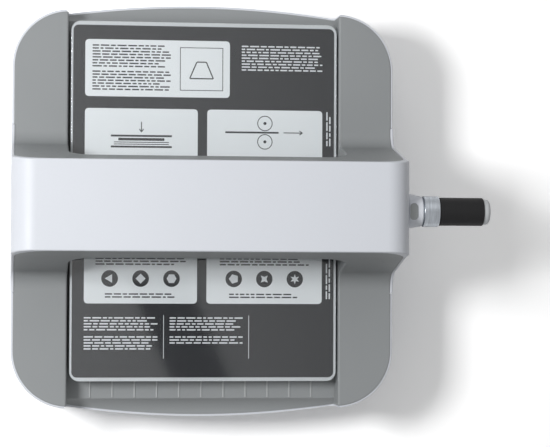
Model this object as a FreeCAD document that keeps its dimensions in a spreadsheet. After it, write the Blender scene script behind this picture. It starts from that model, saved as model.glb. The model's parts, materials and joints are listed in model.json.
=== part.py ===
import FreeCAD, Part
import math
import os

import Sketcher

# Hand-cranked die cutting machine, in millimetres.
# X runs across the tray towards the crank, Y towards the back, Z up. The origin lies on the table,
# under the middle of the roller gap.

SIZES = {
    # feet and base
    "foot_height": 4,
    "foot_radius": 11,
    "foot_edge": 1,
    "foot_x": 125,
    "foot_y": 128,
    "foot_stem": 3,
    "barb_radius": 4,
    "barb_height": 2,
    "base_x": 161.2,
    "base_y": 167.4,
    "corner": 48.5,
    "apron_x": 112,
    "bulge": 8.2,
    "shell_wall": 1.8,
    "shell_top": 89,
    "shell_foot_edge": 3,
    "shell_rim_edge": 0.9,
    "sill_gap": 1.5,
    "sill_drop": 1,
    "sill_round": 5,
    "floor_plate": 3,
    "plate_inset": 4.5,
    "plate_play": 0.2,
    "flange": 3,
    "flange_x": 140,
    "flange_y": 142,
    "drive_bay_x": 155,
    "drive_bay_y": 60,
    # decks
    "rim": 1.9,
    "deck_top": 90,
    "deck_edge": 0.6,
    "skin": 3,
    "channel_x": 114.6,
    "channel_round": 1.6,
    "floor_top": 66.8,
    "floor_start": 15.5,
    "tray_end": 160,
    "tray_lip": 0.8,
    "slope_end": 165,
    "slope_round": 12,
    "slope_fold": 1.3,
    "apron_top": 60,
    "rib_width": 2,
    "rib_top": 1.2,
    "rib_height": 0.8,
    "rib_pitch": 18.9,
    "rib_count": 11,
    "panel_post_x": 147,
    "panel_post_y": 100,
    "tray_post_x": 70,
    "tray_post_y": 149,
    "post_radius": 5,
    "post_hole_depth": 25,
    # bridge
    "bridge_top": 182,
    "bridge_x": 161.7,
    "cover_wall": 2.6,
    "gusset_round": 30,
    "gusset_wall": 4,
    "cover_edge": 1.2,
    "shoulder": 19.5,
    "crest_y": 36.6,
    "waist_y": 40.5,
    "waist_z": 153,
    "waist_round": 100,
    "arch_foot_y": 55,
    "arch_foot_round": 15,
    "flank_y": 70,
    "flank_low": 10.4,
    "throat_top": 145,
    "throat_round": 19.5,
    "throat_roof": 13,
    "curtain_low": 121.5,
    "seam": 0.4,
    "cover_post": 4.5,
    "cover_post_gap": 0.2,
    "crank_hole": 9.4,
    # steel frame
    "plate_x": 118.5,
    "plate_wall": 4,
    "plate_y": 48,
    "plate_waist_z": 82,
    "plate_waist_round": 6,
    "plate_neck_y": 31,
    "plate_neck_z": 96,
    "plate_neck_round": 8,
    "plate_top": 165,
    "tab_depth": 20,
    "tab_hole_inset": 10,
    "tie_radius": 5,
    "low_tie_y": 31,
    "low_tie_z": 22,
    "high_tie_y": 22,
    "high_tie_z": 152,
    "gear_plate_x": 149,
    "gear_plate_wall": 3,
    "gear_plate_y": 47,
    "gear_plate_low": 13,
    "gear_plate_high": 83,
    "gear_plate_round": 5,
    "tongue_y": 18,
    "tongue_round": 14,
    "spacer_radius": 5,
    "spacer_y": 42,
    "low_spacer_z": 20,
    "high_spacer_z": 76,
    # fasteners
    "thread_gap": 0.04,
    "pass_gap": 0.25,
    "head_height": 2.2,
    "screw_radius": 1.5,
    "screw_head": 3.4,
    "housing_screw_tip": 32,
    "cover_screw_length": 16,
    "bolt_radius": 2,
    "bolt_head": 4,
    "frame_bolt_past": 2,
    "tie_screw_radius": 2.5,
    "tie_screw_head": 4.4,
    "tie_screw_length": 14,
    "hub_screw_head": 6.4,
    "hub_screw_length": 14,
    "hex_radius": 3,
    "hex_depth": 1.6,
    "grip_screw_head": 5.6,
    "grip_screw_length": 12,
    # rollers
    "roller_radius": 21.5,
    "roller_edge": 1,
    "roller_bore": 17.5,
    "roller_half": 112.5,
    "hub_width": 8,
    "lower_z": 46,
    "shaft_radius": 8,
    "shaft_shoulder": 12,
    "shaft_end": 2.3,
    "bush_radius": 11,
    "bush_rim": 14,
    "bush_flange": 2,
    "running": 0.05,
    "side_play": 0.3,
    "end_gap": 0.4,
    "shaft_stop": 123.1,
    "clip_width": 1.1,
    "clip_radius": 10.6,
    "clip_opening": 5,
    "clip_lip": 0.8,
    "groove_radius": 7.3,
    # gears
    "gear_module": 2,
    "sync_teeth": 34,
    "drive_teeth": 36,
    "pinion_teeth": 12,
    "sync_x": 125,
    "sync_width": 8,
    "drive_x": 136,
    "drive_width": 10,
    "drive_hub": 2.6,
    "gear_hub_wall": 5,
    "gear_flat": 6.4,
    "gear_offset": 0.2,
    # crank
    "crank_radius": 6,
    "crank_flat": 4.8,
    "crank_bush_radius": 9,
    "crank_bush_rim": 12,
    "arm_x": 162.4,
    "arm_thick": 12,
    "arm_throw": 56,
    "arm_hub": 15,
    "arm_end": 12.5,
    "arm_edge": 1,
    "arm_back_wall": 2.5,
    "hub_recess": 7,
    "hub_recess_depth": 2.8,
    "crank_lean": 2.3,
    "plug_x": 4.1,
    "plug_width": 7,
    "plug_length": 13.6,
    "plug_corner": 3.2,
    "plug_depth": 5,
    "plug_sink": 2.6,
    "collar_radius": 12.7,
    "collar_length": 13.2,
    "collar_gap": 0.7,
    "collar_neck": 10.4,
    "collar_edge": 0.8,
    "spindle_radius": 4,
    "spindle_end": 217.1,
    "grip_radius": 11.6,
    "grip_start": 188.8,
    "grip_end": 225.5,
    "grip_edge": 0.6,
    "grip_seat": 7,
    "cap_radius": 10.6,
    "cap_end": 231.1,
    "cap_dome": 3.2,
    "cap_stem": 3,
    # platform
    "platform_x": 112.4,
    "platform_front": 144.4,
    "platform_back": 157.6,
    "platform_low": 67.8,
    "board_thick": 19.5,
    "label_thick": 0.4,
    "label_side": 1.8,
    "label_end": 3,
    "pad_thick": 3,
    "pad_edge": 0.6,
    "platform_corner": 8,
}

# Tooth form: stub teeth with a wide pressure angle, so that the small pinion is not undercut.
PRESSURE_ANGLE = math.radians(25)
ADDENDUM = 0.8
DEDENDUM = 1.05
TOOTH_THINNING = 0.14
PAST_TIP = 0.6

doc = FreeCAD.newDocument("die_cutting_machine")
bodies = []


class Size:
    """A dimension: its spreadsheet expression and its present value."""

    def __init__(self, text, value):
        self.text = text
        self.value = value

    def __add__(self, other):
        other = as_size(other)
        return Size(f"({self.text} + {other.text})", self.value + other.value)

    def __sub__(self, other):
        other = as_size(other)
        return Size(f"({self.text} - {other.text})", self.value - other.value)

    def __mul__(self, other):
        other = as_size(other)
        return Size(f"({self.text} * {other.text})", self.value * other.value)

    def __truediv__(self, other):
        other = as_size(other)
        return Size(f"({self.text} / {other.text})", self.value / other.value)

    def __rsub__(self, other):
        return as_size(other) - self

    def __neg__(self):
        return Size(f"(0 - {self.text})", -self.value)

    __rmul__ = __mul__
    __radd__ = __add__


def as_size(number):
    if isinstance(number, Size):
        return number
    text = f"{number}" if number >= 0 else f"(0 - {-number})"
    return Size(text, float(number))


def root(size):
    return Size(f"sqrt({size.text})", math.sqrt(size.value))


def fill_sheet():
    """Write the driving dimensions to the spreadsheet and give them back by name."""
    sheet = doc.addObject("Spreadsheet::Sheet", "Sizes")
    cells = dict(SIZES)
    for gear in ("sync", "drive", "pinion"):
        cells.update(tooth_space(gear))
    named = {}
    for row, (name, number) in enumerate(cells.items(), start=1):
        sheet.set(f"A{row}", name)
        sheet.set(f"B{row}", f"{number:.6g}")
        sheet.setAlias(f"B{row}", name)
        named[name] = Size(f"Sizes.{name}", float(f"{number:.6g}"))
    doc.recompute()
    return type("Cells", (), named)


def tooth_space(gear):
    """Half widths of the space between two involute teeth, at the root, pitch and past the tip."""
    teeth = SIZES[gear + "_teeth"]
    module = SIZES["gear_module"]
    pitch = teeth * module / 2
    base = pitch * math.cos(PRESSURE_ANGLE)

    def involute(angle):
        return math.tan(angle) - angle

    def half_width(radius):
        slope = math.acos(min(1, base / radius))
        tooth = math.pi / (2 * teeth) - TOOTH_THINNING / (2 * pitch)
        tooth += involute(PRESSURE_ANGLE) - involute(slope)
        return radius * math.sin(math.pi / teeth - tooth)

    return {
        gear + "_space_root": half_width(pitch - DEDENDUM * module),
        gear + "_space_pitch": half_width(pitch),
        gear + "_space_tip": half_width(pitch + ADDENDUM * module + PAST_TIP),
    }


d = fill_sheet()


def bind(thing, name, size):
    thing.setExpression(name, as_size(size).text)


def new_body(label):
    body = doc.addObject("PartDesign::Body", label)
    body.Label = label
    bodies.append(body)
    return body


def move(body, height, turn=0):
    """Lift a body that is built about the X axis to its own axle, and turn it about that."""
    body.Placement = FreeCAD.Placement(FreeCAD.Vector(), FreeCAD.Rotation(FreeCAD.Vector(1, 0, 0), 1))
    bind(body, "Placement.Base.z", height)
    bind(body, "Placement.Rotation.Angle", turn)


def new_sketch(body, role, lift=0):
    """A sketch on one of the body's origin planes, lifted along the plane's normal."""
    plane = [item for item in body.Origin.OriginFeatures if item.Role == role][0]
    sketch = body.newObject("Sketcher::SketchObject", body.Label + "_sketch")
    sketch.AttachmentSupport = [(plane, "")]
    sketch.MapMode = "FlatFace"
    bind(sketch, "AttachmentOffset.Base.z", lift)
    return sketch


def pin(sketch, geometry, end, x, y):
    for kind, size in (("DistanceX", x), ("DistanceY", y)):
        number = sketch.addConstraint(Sketcher.Constraint(kind, -1, 1, geometry, end, size.value))
        sketch.setExpression(f"Constraints[{number}]", size.text)


def set_radius(sketch, geometry, radius):
    number = sketch.addConstraint(Sketcher.Constraint("Radius", geometry, radius.value))
    sketch.setExpression(f"Constraints[{number}]", radius.text)


def circle(sketch, x, y, radius):
    x, y, radius = as_size(x), as_size(y), as_size(radius)
    centre = FreeCAD.Vector(x.value, y.value, 0)
    geometry = sketch.addGeometry(Part.Circle(centre, FreeCAD.Vector(0, 0, 1), radius.value))
    pin(sketch, geometry, 3, x, y)
    set_radius(sketch, geometry, radius)


def at(x, y, radius=None):
    """A corner of an outline, rounded if it has a radius."""
    return ("corner", as_size(x), as_size(y), None if radius is None else as_size(radius))


def via(x, y):
    """A point that the edge between two corners curves through."""
    return ("via", as_size(x), as_size(y), None)


def spot(mark):
    return FreeCAD.Vector(mark[1].value, mark[2].value, 0)


def corner_ends(corners, index):
    """Where a corner's rounding starts, its middle and where it stops."""
    here = spot(corners[index])
    if corners[index][3] is None:
        return here, here, here
    before = (spot(corners[index - 1]) - here).normalize()
    after = (spot(corners[(index + 1) % len(corners)]) - here).normalize()
    half = before.getAngle(after) / 2
    radius = corners[index][3].value
    reach = radius / math.tan(half)
    towards = (before + after).normalize()
    middle = here + towards * (radius / math.sin(half) - radius)
    return here + before * reach, middle, here + after * reach


def add_line(sketch, start, stop):
    return sketch.addGeometry(Part.LineSegment(start, stop)), 1, 2


def add_arc(sketch, start, middle, stop):
    """An arc through three points, with the numbers of its first and last end."""
    whole = Part.Arc(start, middle, stop).toShape().Curve
    centre = whole.Center
    left = (middle - start).cross(stop - middle).z > 0
    first, last = (start, stop) if left else (stop, start)
    angles = [math.atan2(p.y - centre.y, p.x - centre.x) for p in (first, last)]
    ring = Part.Circle(centre, FreeCAD.Vector(0, 0, 1), whole.Radius)
    geometry = sketch.addGeometry(Part.ArcOfCircle(ring, angles[0], angles[1]))
    return (geometry, 1, 2) if left else (geometry, 2, 1)


def mark_point(sketch, mark, *curves):
    point = sketch.addGeometry(Part.Point(spot(mark)), True)
    pin(sketch, point, 1, mark[1], mark[2])
    for curve in curves:
        sketch.addConstraint(Sketcher.Constraint("PointOnObject", point, 1, curve))


def outline(sketch, *marks):
    """A closed outline through corners, each placed by the spreadsheet."""
    corners = []
    bends = {}
    for mark in marks:
        if mark[0] == "corner":
            corners.append(mark)
        else:
            bends[len(corners) - 1] = mark
    ends = [corner_ends(corners, index) for index in range(len(corners))]
    edges = []
    for index, corner in enumerate(corners):
        start = ends[index][2]
        stop = ends[(index + 1) % len(corners)][0]
        if index in bends:
            edges.append(add_arc(sketch, start, spot(bends[index]), stop))
            mark_point(sketch, bends[index], edges[-1][0])
        else:
            edges.append(add_line(sketch, start, stop))
    for index, corner in enumerate(corners):
        into, out = edges[index - 1], edges[index]
        if corner[3] is None:
            sketch.addConstraint(Sketcher.Constraint("Coincident", into[0], into[2], out[0], out[1]))
            pin(sketch, out[0], out[1], corner[1], corner[2])
            continue
        arc = add_arc(sketch, *ends[index])
        sketch.addConstraint(Sketcher.Constraint("Tangent", into[0], into[2], arc[0], arc[1]))
        sketch.addConstraint(Sketcher.Constraint("Tangent", arc[0], arc[2], out[0], out[1]))
        set_radius(sketch, arc[0], corner[3])
        mark_point(sketch, corner, into[0], out[0])


def extrude(kind, body, sketch, length, both, back):
    feature = body.newObject("PartDesign::" + kind, f"{body.Label}_{kind.lower()}")
    feature.Profile = sketch
    feature.SideType = "Symmetric" if both else "One side"
    feature.Reversed = back
    bind(feature, "Length", length)
    sketch.Visibility = False
    return feature


def pad(body, sketch, length, both=False, back=False):
    return extrude("Pad", body, sketch, length, both, back)


def cut(body, sketch, length, both=False, back=False):
    """A pocket, which runs against the sketch's normal unless it is set back."""
    return extrude("Pocket", body, sketch, length, both, back)


def soften(body, radius, wanted):
    """Round the edges of a body's last feature whose middle passes the test."""
    doc.recompute()
    base = body.Tip
    names = []
    for number, edge in enumerate(base.Shape.Edges, start=1):
        middle = edge.valueAt((edge.FirstParameter + edge.LastParameter) / 2)
        if wanted(edge, middle):
            names.append(f"Edge{number}")
    fillet = body.newObject("PartDesign::Fillet", body.Label + "_fillet")
    fillet.Base = (base, names)
    bind(fillet, "Radius", radius)
    doc.recompute()


def pegs(body, role, start, stop, spots, radius, hole=None):
    """Round pegs of one length at several spots, with a hole down each if it has one."""
    sketch = new_sketch(body, role, start)
    for x, y in spots:
        circle(sketch, x, y, radius)
        if hole is not None:
            circle(sketch, x, y, hole)
    return pad(body, sketch, as_size(stop) - start)


def drill(body, role, middle, depth, spots, radius):
    """Round holes at several spots, cut both ways from a plane."""
    sketch = new_sketch(body, role, middle)
    for x, y in spots:
        circle(sketch, x, y, radius)
    return cut(body, sketch, depth, both=True)


def corners_of(x, y):
    return [(x, y), (-x, y), (x, -y), (-x, -y)]


def box(sketch, x_low, y_low, x_high, y_high, radius=None):
    outline(
        sketch,
        at(x_low, y_low, radius),
        at(x_high, y_low, radius),
        at(x_high, y_high, radius),
        at(x_low, y_high, radius),
    )


# Places that several pieces share.
PANEL_POSTS = corners_of(d.panel_post_x, d.panel_post_y)
TRAY_POSTS = corners_of(d.tray_post_x, d.tray_post_y)
FOOT_SPOTS = corners_of(d.foot_x, d.foot_y)
TAB_MIDDLE = d.plate_x - d.tab_depth / 2
TAB_BOLTS = corners_of(TAB_MIDDLE, d.plate_y - d.tab_hole_inset)
COVER_SCREWS = corners_of(TAB_MIDDLE, d.plate_neck_y - d.tab_hole_inset)
LOW_TIES = [(d.low_tie_y, d.low_tie_z), (-d.low_tie_y, d.low_tie_z)]
HIGH_TIES = [(d.high_tie_y, d.high_tie_z), (-d.high_tie_y, d.high_tie_z)]
TIES = LOW_TIES + HIGH_TIES
SPACERS = [
    (side * d.spacer_y, height) for side in (1, -1) for height in (d.low_spacer_z, d.high_spacer_z)
]
UPPER_Z = d.lower_z + d.gear_module * d.sync_teeth
CRANK_Z = d.lower_z + d.gear_module * (d.drive_teeth + d.pinion_teeth) / 2
PLATE_TOP = d.foot_height + d.floor_plate
FLANGE_TOP = PLATE_TOP + d.flange
CREST_SLOPE = (d.waist_y - d.crest_y) / (d.bridge_top - d.waist_z)
THROAT_BACK = d.waist_y - d.throat_roof
DECK_SIDE = d.bridge_x - d.cover_wall - d.seam
ARM_FACE = d.arm_x + d.arm_thick
HUB_SEAT = ARM_FACE - d.hub_recess_depth
HANDLE_AXIS = [(0, d.arm_throw)]
SCREW_THREAD_HOLE = d.screw_radius + d.thread_gap
SCREW_PASS_HOLE = d.screw_radius + d.pass_gap
BOLT_HOLE = d.bolt_radius + d.thread_gap
BOLT_PASS_HOLE = d.bolt_radius + d.pass_gap
TIE_HOLE = d.tie_screw_radius + d.thread_gap
TIE_PASS_HOLE = d.tie_screw_radius + d.pass_gap
HEX_TURNS = [math.radians(60 * step) for step in range(6)]

# Allowances of the modelling: a close fit, how far a cut runs past what it cuts, the depth of a hole
# that goes right through a wall, and how far the features of one piece run into each other.
SNUG = 0.02
PAST = 10
THROUGH = 20
MERGE = 1


def footprint(sketch, inset):
    """The machine's outline from above: straight flanks, round corners and bowed ends."""
    x = d.base_x - inset
    y = d.base_y - inset
    bow = y + d.bulge
    turn = d.corner - inset
    outline(
        sketch,
        at(d.apron_x, -y),
        at(x, -y, turn),
        at(x, y, turn),
        at(d.apron_x, y),
        via(0, bow),
        at(-d.apron_x, y),
        at(-x, y, turn),
        at(-x, -y, turn),
        at(-d.apron_x, -y),
        via(0, -bow),
    )


def on_footprint(point, inset):
    """Whether a point beside the tray lies on that outline."""
    past_x = max(abs(point.x) - (d.base_x - d.corner).value, 0)
    past_y = max(abs(point.y) - (d.base_y - d.corner).value, 0)
    return same(math.hypot(past_x, past_y), d.corner - inset)


def same(number, size, within=0.01):
    return abs(number - as_size(size).value) < within


def make_base_shell():
    body = new_body("base_shell")
    sketch = new_sketch(body, "XY_Plane", d.foot_height)
    footprint(sketch, 0)
    pad(body, sketch, d.shell_top - d.foot_height)
    soften(body, d.shell_foot_edge, lambda edge, middle: same(middle.z, d.foot_height))
    soften(body, d.shell_rim_edge, lambda edge, middle: same(middle.z, d.shell_top))
    sketch = new_sketch(body, "XY_Plane", d.shell_top)
    footprint(sketch, d.shell_wall)
    cut(body, sketch, d.shell_top - FLANGE_TOP)
    # the flange that the bottom plate screws to, cut back beside the gears
    sketch = new_sketch(body, "XY_Plane", FLANGE_TOP)
    wide, narrow = d.drive_bay_x, d.flange_x
    outline(
        sketch,
        at(narrow, -d.flange_y),
        at(narrow, -d.drive_bay_y),
        at(wide, -d.drive_bay_y),
        at(wide, d.drive_bay_y),
        at(narrow, d.drive_bay_y),
        at(narrow, d.flange_y),
        at(-narrow, d.flange_y),
        at(-narrow, d.drive_bay_y),
        at(-wide, d.drive_bay_y),
        at(-wide, -d.drive_bay_y),
        at(-narrow, -d.drive_bay_y),
        at(-narrow, -d.flange_y),
    )
    cut(body, sketch, FLANGE_TOP)
    sketch = new_sketch(body, "XY_Plane", PLATE_TOP)
    footprint(sketch, d.plate_inset)
    cut(body, sketch, PLATE_TOP)
    # notches for the bridge cover's flanks, and the low ends of the tray
    sketch = new_sketch(body, "YZ_Plane")
    reach = d.flank_y + d.seam
    box(sketch, -reach, d.flank_low - d.seam, reach, d.shell_top + PAST)
    cut(body, sketch, d.base_x * 3, both=True)
    sketch = new_sketch(body, "XZ_Plane")
    low = d.apron_top - d.sill_drop
    edge = d.channel_x + d.sill_gap
    outline(
        sketch,
        at(-edge, d.shell_top + PAST),
        at(-edge, low, d.sill_round),
        at(edge, low, d.sill_round),
        at(edge, d.shell_top + PAST),
    )
    cut(body, sketch, d.base_y * 3, both=True)
    drill(body, "XY_Plane", FLANGE_TOP, THROUGH, PANEL_POSTS + TRAY_POSTS, SCREW_PASS_HOLE)


def make_bottom_plate():
    body = new_body("bottom_plate")
    sketch = new_sketch(body, "XY_Plane", d.foot_height)
    footprint(sketch, d.plate_inset + d.plate_play)
    pad(body, sketch, d.floor_plate)
    drill(body, "XY_Plane", d.foot_height, THROUGH, PANEL_POSTS + TRAY_POSTS, SCREW_PASS_HOLE)
    drill(body, "XY_Plane", d.foot_height, THROUGH, TAB_BOLTS, BOLT_PASS_HOLE)
    drill(body, "XY_Plane", d.foot_height, THROUGH, FOOT_SPOTS, d.foot_stem + SNUG)


def make_rubber_feet():
    body = new_body("rubber_feet")
    barb_top = PLATE_TOP + d.barb_height
    pegs(body, "XY_Plane", 0, d.foot_height, FOOT_SPOTS, d.foot_radius)
    soften(body, d.foot_edge, lambda edge, middle: same(middle.z, 0))
    pegs(body, "XY_Plane", d.foot_height - MERGE, barb_top, FOOT_SPOTS, d.foot_stem)
    pegs(body, "XY_Plane", PLATE_TOP, barb_top, FOOT_SPOTS, d.barb_radius)


def add_side_panels(body):
    """The panels beside the tray, with the channel's walls."""
    edge = d.base_x + PAST
    start = d.arch_foot_y - d.skin
    under = d.deck_top - d.skin
    low = d.apron_top - d.skin
    outer_wall = d.channel_x + d.skin
    for side in (1, -1):
        sketch = new_sketch(body, "XZ_Plane", start)
        outline(
            sketch,
            at(side * edge, d.deck_top),
            at(side * d.channel_x, d.deck_top),
            at(side * d.channel_x, low),
            at(side * outer_wall, low),
            at(side * outer_wall, under),
            at(side * edge, under),
        )
        pad(body, sketch, d.base_y + d.bulge - start)


def beyond_arch(sketch, side):
    """What lies outside the bridge's face, seen from the side."""
    high = d.bridge_top + PAST
    far = d.base_y * 2
    outline(
        sketch,
        at(side * (d.crest_y - CREST_SLOPE * PAST), high),
        at(side * d.waist_y, d.waist_z, d.waist_round),
        at(side * d.arch_foot_y, d.deck_top, d.arch_foot_round),
        at(side * far, d.deck_top),
        at(side * far, high),
    )


def add_throat(body):
    """The tunnel under the bridge: walls beside the rollers, a roof and a curtain over the slot."""
    low = d.floor_top - d.skin
    outer_wall = d.channel_x + d.skin
    outer_turn = d.throat_round + d.skin
    sketch = new_sketch(body, "XZ_Plane", THROAT_BACK)
    outline(
        sketch,
        at(-outer_wall, low),
        at(-outer_wall, d.throat_top + d.skin, outer_turn),
        at(outer_wall, d.throat_top + d.skin, outer_turn),
        at(outer_wall, low),
        at(d.channel_x, low),
        at(d.channel_x, d.throat_top, d.throat_round),
        at(-d.channel_x, d.throat_top, d.throat_round),
        at(-d.channel_x, low),
    )
    pad(body, sketch, d.arch_foot_y - THROAT_BACK)
    sketch = new_sketch(body, "YZ_Plane")
    beyond_arch(sketch, -1)
    cut(body, sketch, d.bridge_x * 3, both=True)
    for side in (1, -1):
        sketch = new_sketch(body, "XZ_Plane", d.floor_start)
        ends = sorted((side * d.channel_x, side * outer_wall), key=lambda size: size.value)
        box(sketch, ends[0], low, ends[1], d.throat_top - d.throat_round)
        pad(body, sketch, THROAT_BACK + MERGE - d.floor_start)
    sketch = new_sketch(body, "XZ_Plane", THROAT_BACK)
    curtain_x = d.channel_x + MERGE
    curtain_top = d.throat_top + MERGE
    curtain_turn = d.throat_round + MERGE
    outline(
        sketch,
        at(-curtain_x, d.curtain_low),
        at(curtain_x, d.curtain_low),
        at(curtain_x, curtain_top, curtain_turn),
        at(-curtain_x, curtain_top, curtain_turn),
    )
    pad(body, sketch, d.skin)


def add_tray(body):
    """The tray's floor, the slope at its end and the apron."""
    far = d.base_y + d.bulge + PAST
    low = d.apron_top - d.skin
    sketch = new_sketch(body, "YZ_Plane")
    outline(
        sketch,
        at(-d.floor_start, d.floor_top),
        at(-d.tray_end, d.floor_top),
        at(-d.slope_end, d.apron_top, d.slope_round),
        at(-far, d.apron_top),
        at(-far, low),
        at(d.slope_fold - d.slope_end, low),
        at(d.slope_fold - d.tray_end, d.floor_top - d.skin),
        at(-d.floor_start, d.floor_top - d.skin),
    )
    pad(body, sketch, (d.channel_x + d.skin) * 2, both=True)


def add_arch_face(body):
    """The face that rises from the panels to the bridge cover, with the throat over the tray."""
    under = d.deck_top - d.skin
    crest = d.bridge_top - d.cover_wall - d.seam
    crest_y = d.crest_y + CREST_SLOPE * (d.bridge_top - crest)
    toe_y = d.arch_foot_y + d.arch_foot_round
    sketch = new_sketch(body, "YZ_Plane")
    outline(
        sketch,
        at(-crest_y, crest),
        at(-d.waist_y, d.waist_z, d.waist_round),
        at(-d.arch_foot_y, d.deck_top, d.arch_foot_round),
        at(-toe_y, d.deck_top),
        at(-toe_y, under),
        at(d.skin - d.arch_foot_y, under),
        at(d.skin - d.waist_y, d.waist_z, d.waist_round),
        at(d.skin - crest_y, crest),
    )
    pad(body, sketch, DECK_SIDE * 2, both=True)
    # round its shoulders to fit inside the cover's gussets
    sketch = new_sketch(body, "XZ_Plane")
    turn_in = d.gusset_round - d.seam
    high = d.bridge_top + PAST
    start = crest - d.gusset_round - PAST
    wide = d.bridge_x + PAST
    outline(
        sketch,
        at(-wide, start),
        at(-wide, high),
        at(wide, high),
        at(wide, start),
        at(DECK_SIDE, start),
        at(DECK_SIDE, crest, turn_in),
        at(-DECK_SIDE, crest, turn_in),
        at(-DECK_SIDE, start),
    )
    cut(body, sketch, d.base_y * 2, both=True)
    sketch = new_sketch(body, "XZ_Plane", THROAT_BACK + d.skin)
    low = d.floor_top + MERGE
    outline(
        sketch,
        at(-d.channel_x, low),
        at(d.channel_x, low),
        at(d.channel_x, d.throat_top, d.throat_round),
        at(-d.channel_x, d.throat_top, d.throat_round),
    )
    cut(body, sketch, toe_y, back=True)


def round_channel(body):
    """Round the long edges of the channel, and on round the throat's mouth."""
    turn_x = (d.channel_x - d.throat_round).value
    turn_z = (d.throat_top - d.throat_round).value

    def on_channel(edge, middle):
        if middle.z < d.deck_top.value - SNUG or abs(middle.y) < d.waist_y.value:
            return False
        if middle.z < turn_z:
            return same(abs(middle.x), d.channel_x)
        if abs(middle.x) < turn_x:
            return same(middle.z, d.throat_top)
        return same(math.hypot(abs(middle.x) - turn_x, middle.z - turn_z), d.throat_round)

    soften(body, d.channel_round, on_channel)


def trim_deck(body):
    """Cut the deck to the machine's outline and take off its sharp edges."""
    sketch = new_sketch(body, "XY_Plane")
    far_x = d.base_x * 1.5
    far_y = d.base_y * 1.5
    box(sketch, -far_x, -far_y, far_x, far_y)
    footprint(sketch, d.rim)
    cut(body, sketch, d.bridge_top * 3, both=True)
    # clear of the bridge cover's flanks
    sketch = new_sketch(body, "XY_Plane")
    reach = d.flank_y + d.seam
    box(sketch, DECK_SIDE, -reach, far_x, reach)
    box(sketch, -far_x, -reach, -DECK_SIDE, reach)
    cut(body, sketch, d.bridge_top * 3, both=True)

    def on_panel_edge(edge, middle):
        return same(middle.z, d.deck_top) and on_footprint(middle, d.rim)

    def on_tray_lip(edge, middle):
        return same(middle.z, d.floor_top) and same(middle.y, -d.tray_end)

    soften(body, d.deck_edge, on_panel_edge)
    soften(body, d.tray_lip, on_tray_lip)


def add_screw_posts(body):
    panel_posts = [post for post in PANEL_POSTS if post[1].value < 0]
    tray_posts = [post for post in TRAY_POSTS if post[1].value < 0]
    panel_under = d.deck_top - d.skin + MERGE
    pegs(body, "XY_Plane", FLANGE_TOP, panel_under, panel_posts, d.post_radius)
    pegs(body, "XY_Plane", FLANGE_TOP, d.floor_top - MERGE, tray_posts, d.post_radius)
    posts = panel_posts + tray_posts
    drill(body, "XY_Plane", FLANGE_TOP, d.post_hole_depth * 2, posts, SCREW_THREAD_HOLE)


def add_ribs(body):
    """Low ribs along the tray floor."""
    sketch = new_sketch(body, "XZ_Plane", d.floor_start)
    first = -d.rib_pitch * (d.rib_count - 1) / 2
    foot = d.floor_top - MERGE
    top = d.floor_top + d.rib_height
    outline(
        sketch,
        at(first - d.rib_width / 2, foot),
        at(first + d.rib_width / 2, foot),
        at(first + d.rib_width / 2, d.floor_top),
        at(first + d.rib_top / 2, top),
        at(first - d.rib_top / 2, top),
        at(first - d.rib_width / 2, d.floor_top),
    )
    rib = pad(body, sketch, d.tray_end - d.tray_lip - d.floor_start)
    row = body.newObject("PartDesign::LinearPattern", body.Label + "_ribs")
    row.Originals = [rib]
    row.Direction = (sketch, ["H_Axis"])
    bind(row, "Length", d.rib_pitch * (d.rib_count - 1))
    bind(row, "Occurrences", d.rib_count)
    body.Tip = row


def make_deck(label, turn):
    """One end of the top, in one moulding. Built at the front and turned for the back."""
    body = new_body(label)
    add_side_panels(body)
    add_throat(body)
    add_tray(body)
    add_arch_face(body)
    round_channel(body)
    trim_deck(body)
    add_screw_posts(body)
    add_ribs(body)
    upright = FreeCAD.Vector(0, 0, 1)
    body.Placement = FreeCAD.Placement(FreeCAD.Vector(), FreeCAD.Rotation(upright, turn))


def make_bridge_cover():
    body = new_body("bridge_cover")
    sketch = new_sketch(body, "XZ_Plane")
    inner_x = d.bridge_x - d.cover_wall
    inner_top = d.bridge_top - d.cover_wall
    inner_turn = d.shoulder - d.cover_wall
    outline(
        sketch,
        at(-d.bridge_x, d.flank_low),
        at(-d.bridge_x, d.bridge_top, d.shoulder),
        at(d.bridge_x, d.bridge_top, d.shoulder),
        at(d.bridge_x, d.flank_low),
        at(inner_x, d.flank_low),
        at(inner_x, inner_top, d.gusset_round),
        at(-inner_x, inner_top, d.gusset_round),
        at(-inner_x, d.flank_low),
    )
    pad(body, sketch, d.flank_y * 2, both=True)
    # hollow shoulders, with a gusset left at the front and the back
    sketch = new_sketch(body, "XZ_Plane")
    gusset_low = inner_top - d.gusset_round - PAST
    outline(
        sketch,
        at(-inner_x, gusset_low),
        at(-inner_x, inner_top, inner_turn),
        at(inner_x, inner_top, inner_turn),
        at(inner_x, gusset_low),
    )
    cut(body, sketch, (d.crest_y - d.gusset_wall) * 2, both=True)
    # the band narrows from the flanks to the top
    for side in (1, -1):
        sketch = new_sketch(body, "YZ_Plane")
        beyond_arch(sketch, side)
        cut(body, sketch, d.bridge_x * 3, both=True)
    shoulder_x = (d.bridge_x - d.shoulder).value
    shoulder_z = (d.bridge_top - d.shoulder).value

    def on_outside(edge, middle):
        if abs(middle.y) < d.crest_y.value / 2:
            return False
        if abs(middle.x) <= shoulder_x:
            return same(middle.z, d.bridge_top, 0.05)
        reach = math.hypot(abs(middle.x) - shoulder_x, middle.z - shoulder_z)
        return same(abs(middle.x), d.bridge_x, 0.05) or same(reach, d.shoulder, 0.05)

    soften(body, d.cover_edge, on_outside)
    post_low = d.plate_top + d.cover_post_gap
    post_high = d.bridge_top - d.cover_wall + MERGE
    pegs(body, "XY_Plane", post_low, post_high, COVER_SCREWS, d.cover_post, SCREW_THREAD_HOLE)
    drill(body, "YZ_Plane", d.bridge_x, THROUGH, [(0, CRANK_Z)], d.crank_hole)


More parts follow.
